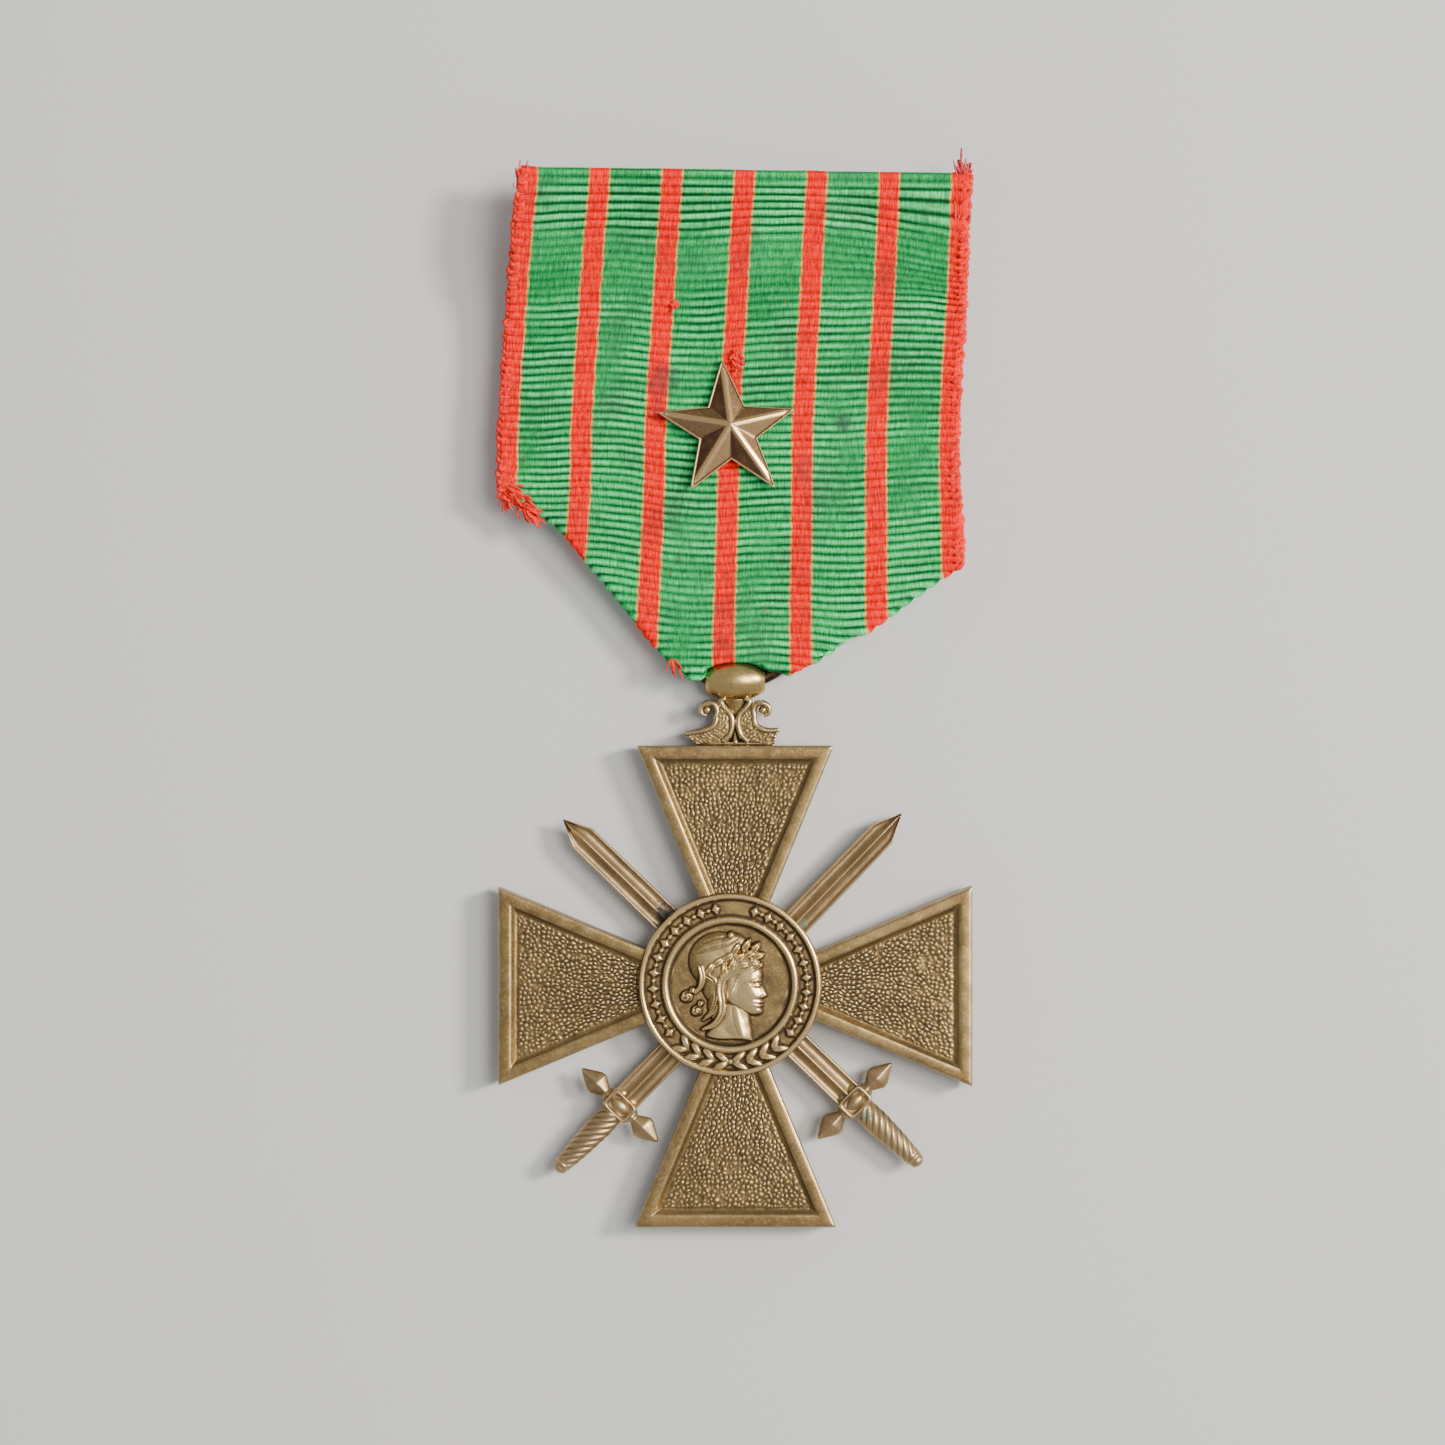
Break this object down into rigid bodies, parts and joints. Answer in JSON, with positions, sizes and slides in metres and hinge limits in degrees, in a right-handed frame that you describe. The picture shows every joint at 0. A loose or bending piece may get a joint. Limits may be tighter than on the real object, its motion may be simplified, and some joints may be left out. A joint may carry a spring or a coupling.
{
  "type": "cross medal on folded ribbon",
  "caption": "Cross-shaped award medal with crossed swords and a round portrait centre, hung by a ball and ring from a folded striped ribbon with a star and a pin brooch.",
  "frame": {"origin": "under the middle of the medal, on the surface that it lies on", "axes": "+X to the right, +Y up the medal from the cross to the brooch, +Z out of its face"},
  "size_m": [0.037, 0.082, 0.0056],
  "materials": {
    "cross_bronze": "dark aged bronze, rubbed on its frames",
    "sword_bronze": "aged bronze, rubbed bright on the pommels",
    "medallion_bronze": "aged bronze, rubbed on its relief",
    "ball_bronze": "polished aged bronze",
    "star_bronze": "brown patina, rubbed golden on its ridges",
    "ribbon_cloth": "ribbed moire weave, green with red stripes",
    "sewing_thread": "twisted thread",
    "brooch_brass": "dull brass",
    "pin_steel": "drawn wire"
  },
  "bodies": {
    "ribbon_and_brooch": {"ribbon": "ribbon_cloth", "star": "star_bronze", "star_prongs": "star_bronze", "brooch_bar": "brooch_brass", "hinge_lug": "brooch_brass", "hinge_rivet": "pin_steel", "catch_hook": "brooch_brass", "seam_stitches": "sewing_thread"},
    "pin": {"brooch_pin": "pin_steel"},
    "ring": {"suspension_ring": "ball_bronze"},
    "cross": {"cross_plate": "cross_bronze", "sword_hilt_left": "sword_bronze", "sword_hilt_right": "sword_bronze", "front_medallion": "medallion_bronze", "rear_medallion": "medallion_bronze", "crest": "cross_bronze", "suspension_ball": "ball_bronze"}
  },
  "joints": [
    {"name": "pin_swing", "type": "hinge", "parent": "ribbon_and_brooch", "child": "pin", "pos_m": [-0.013, 0.03735, 0.0013], "axis": [0, 0, 1], "range_deg": [-58, 0]},
    {"name": "ring_slide", "type": "slide", "parent": "ribbon_and_brooch", "child": "ring", "axis": [0, -1, 0], "range_m": [0, 0.007]},
    {"name": "cross_swing", "type": "hinge", "parent": "ring", "child": "cross", "pos_m": [0, 0.00165, 0.0016], "axis": [1, 0, 0], "range_deg": [-100, 100]}
  ]
}
